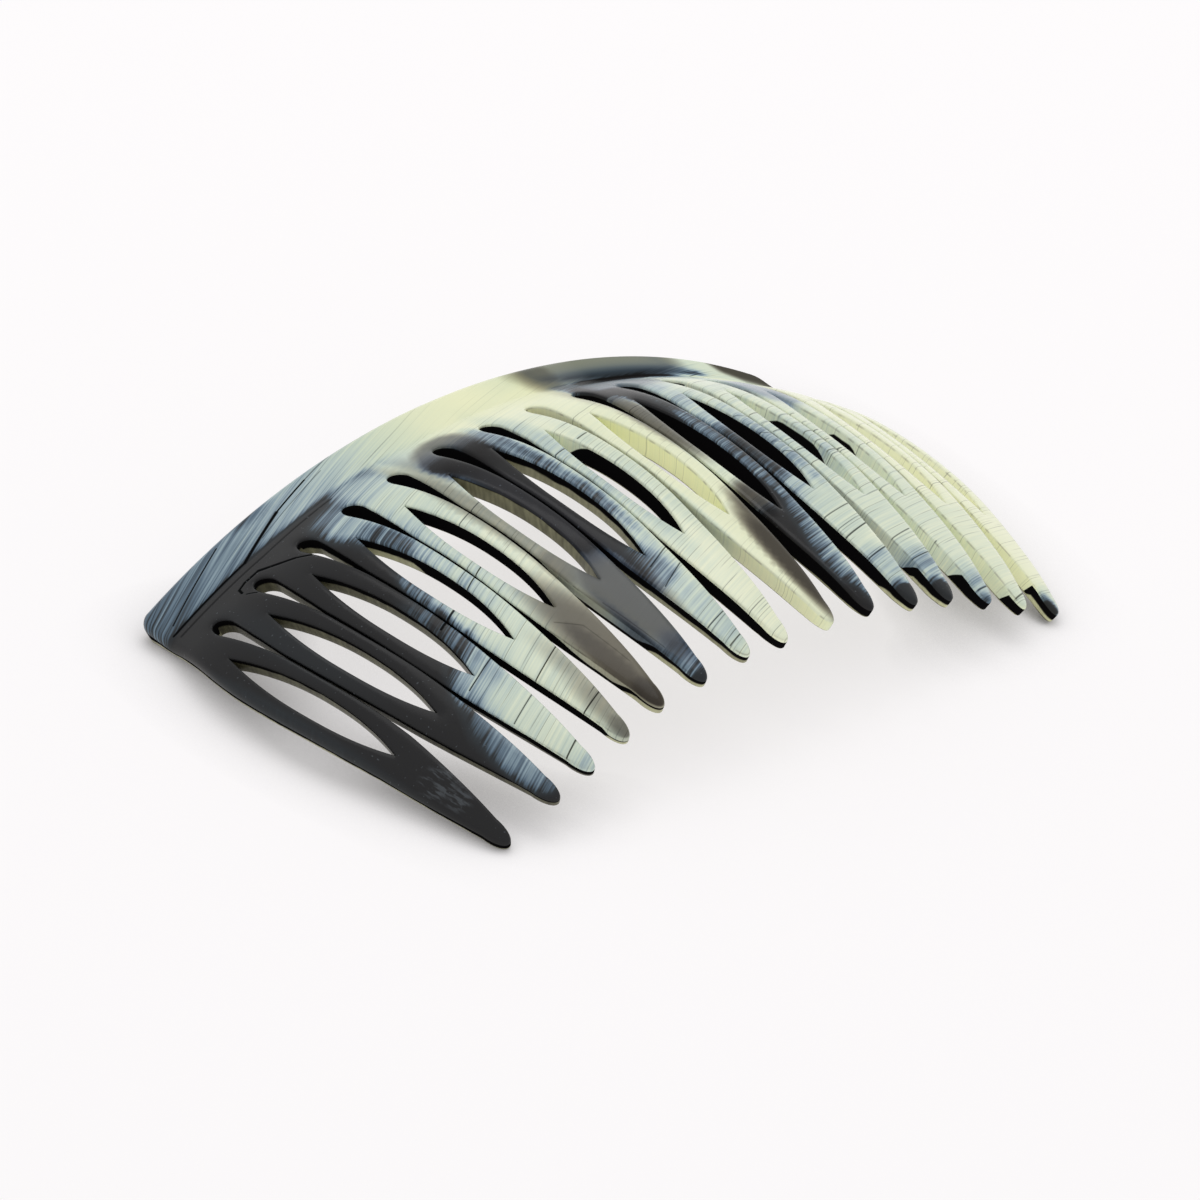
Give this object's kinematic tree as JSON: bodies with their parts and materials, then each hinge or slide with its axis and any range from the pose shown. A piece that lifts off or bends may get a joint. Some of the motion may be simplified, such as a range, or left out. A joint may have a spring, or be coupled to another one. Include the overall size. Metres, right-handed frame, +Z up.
{
  "type": "horn comb",
  "caption": "Arched one-piece hair comb cut from horn: a smooth back, leaf-shaped teeth with lens-shaped eyes and drop-headed slots between them.",
  "frame": {"origin": "centre of the comb's footprint on the surface that it lies on, hollow side down", "axes": "+X along the comb to its right end, +Y from the tips to the back, +Z up"},
  "size_m": [0.0964, 0.0574, 0.0192],
  "materials": {
    "horn": "polished natural horn, cream and blue-grey with charcoal patches"
  },
  "bodies": {
    "root": {"comb": "horn"}
  },
  "joints": []
}
